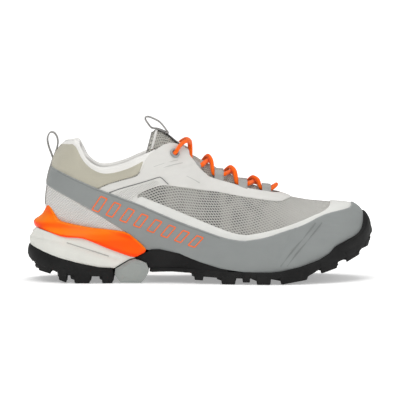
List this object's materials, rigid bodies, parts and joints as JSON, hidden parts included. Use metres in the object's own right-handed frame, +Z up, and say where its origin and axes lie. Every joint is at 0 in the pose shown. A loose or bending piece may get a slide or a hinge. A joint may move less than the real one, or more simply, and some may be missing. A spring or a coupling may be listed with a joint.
{
  "type": "hiking shoe",
  "caption": "Low-cut laced hiking shoe for the right foot, with a lugged sole, heel frame, padded collar, tongue and pull loops.",
  "frame": {"origin": "centre of the bounding box in plan, on the ground under the sole", "axes": "+X to the toe, -Y to the outer side of the foot, +Y to the inner side, +Z up"},
  "size_m": [0.2991, 0.1104, 0.1415],
  "materials": {
    "rubber": "matt black moulded rubber",
    "black_foam": "matt black moulded foam",
    "white_foam": "matt off-white moulded foam",
    "orange_frame": "satin orange moulded plastic",
    "grey_rubber": "satin grey moulded plastic rubber",
    "board": "needled fibre board",
    "footbed": "cloth-faced foam",
    "stiffener": "thermoformed fibre sheet",
    "knit": "open knitted mesh",
    "white_film": "off-white bonded film",
    "grey_film": "grey bonded film",
    "khaki": "fine khaki fabric",
    "lining": "soft off-white lining",
    "foam": "open-cell foam",
    "tongue_knit": "padded knit",
    "webbing": "flat woven webbing",
    "lace": "orange braided cord",
    "aglet": "clear-grey sleeve"
  },
  "bodies": {
    "shoe": {"outsole_heel": "rubber", "outsole_forefoot": "rubber", "arch_insert": "grey_rubber", "heel_frame": "orange_frame", "midsole_heel": "white_foam", "midsole_forefoot": "black_foam", "insole_board": "board", "footbed": "footbed", "quarter_knit_outer": "knit", "quarter_knit_inner": "knit", "vamp_knit": "knit", "lining_outer": "lining", "lining_inner": "lining", "vamp_lining": "lining", "heel_counter": "stiffener", "toe_puff": "stiffener", "collar_foam": "foam", "collar_lining": "lining", "topline_binding": "lining", "collar_cover": "khaki", "heel_panel": "white_film", "toe_trim": "white_film", "eyestay_outer": "white_film", "eyestay_inner": "white_film", "band_outer": "grey_film", "band_inner": "grey_film", "tongue": "tongue_knit", "eyelet_outer": "grey_film", "eyelet_inner": "grey_film", "lace": "lace", "aglet_outer": "aglet", "aglet_inner": "aglet", "heel_tab": "webbing", "lace_loop_outer_1": "webbing", "lace_loop_outer_2": "webbing", "lace_loop_outer_3": "webbing", "lace_loop_outer_4": "webbing", "lace_loop_inner_1": "webbing", "lace_loop_inner_2": "webbing", "lace_loop_inner_3": "webbing", "lace_loop_inner_4": "webbing"},
    "tongue_flap": {"tongue_flap": "tongue_knit"},
    "heel_loop": {"heel_pull_loop": "webbing"},
    "tongue_loop": {"tongue_pull_loop": "webbing"}
  },
  "joints": [
    {"name": "tongue_flap_bend", "type": "hinge", "parent": "shoe", "child": "tongue_flap", "pos_m": [-0.022, 0, 0.0895], "axis": [0, 1, 0], "range_deg": [-12, 0], "stiffness_Nm_per_rad": 0.05},
    {"name": "heel_loop_fold", "type": "hinge", "parent": "shoe", "child": "heel_loop", "pos_m": [-0.1269, 0, 0.104], "axis": [0, 1, 0], "range_deg": [-50, 0], "stiffness_Nm_per_rad": 0.004},
    {"name": "tongue_loop_fold", "type": "hinge", "parent": "tongue_flap", "child": "tongue_loop", "pos_m": [-0.0345, 0, 0.13], "axis": [0, 1, 0], "range_deg": [-8, 0], "stiffness_Nm_per_rad": 0.004}
  ]
}
